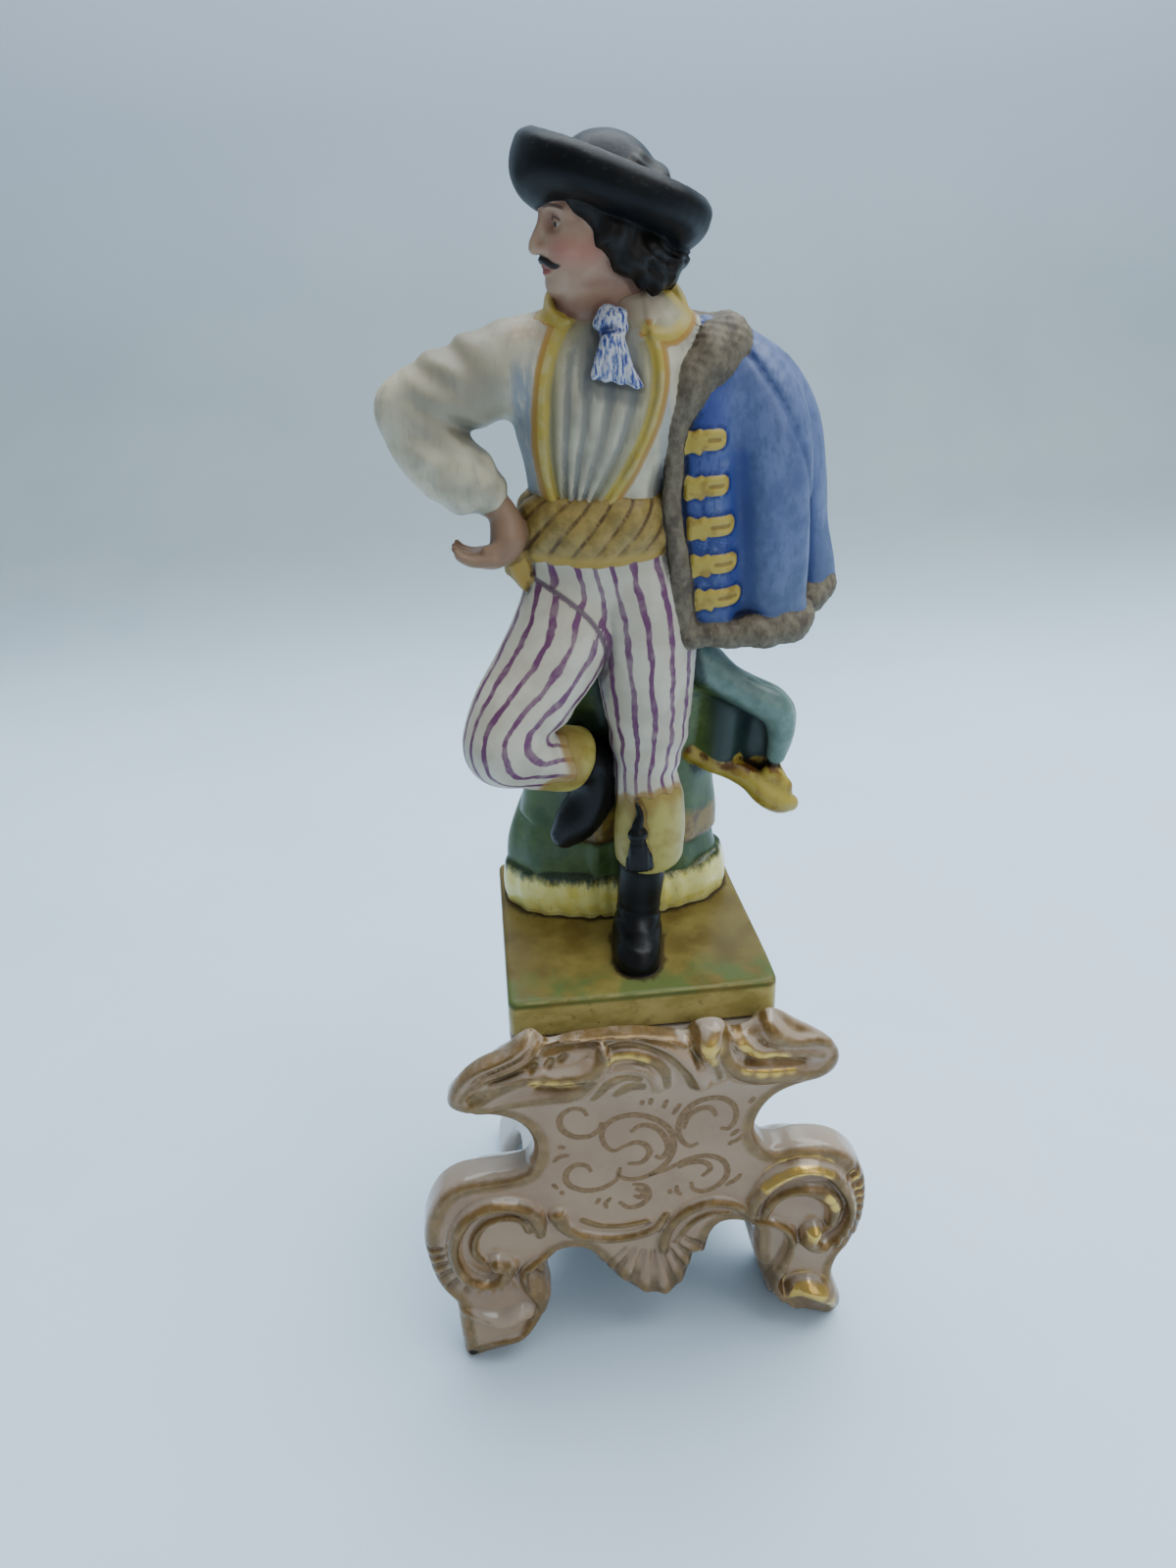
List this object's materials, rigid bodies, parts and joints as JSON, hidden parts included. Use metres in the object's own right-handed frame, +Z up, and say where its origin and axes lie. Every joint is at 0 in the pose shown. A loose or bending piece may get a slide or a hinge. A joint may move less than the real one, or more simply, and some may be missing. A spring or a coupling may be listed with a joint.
{
  "type": "painted bisque figurine",
  "caption": "Painted bisque figure of a young man with a slung jacket before a draped stump, on a square block set on a glazed rococo base with scroll feet.",
  "frame": {"origin": "on the floor, at the middle of the whole object's footprint", "axes": "+Z up, the figure and the carved front of the base face -Y, +X is to the viewer's right"},
  "size_m": [0.0986, 0.0759, 0.25],
  "materials": {
    "painted_bisque": "matte bisque, hand painted",
    "pink_glaze": "glossy pale pink glaze with gilding"
  },
  "bodies": {
    "root": {"figure_group": "painted_bisque", "rococo_base": "pink_glaze"}
  },
  "joints": []
}
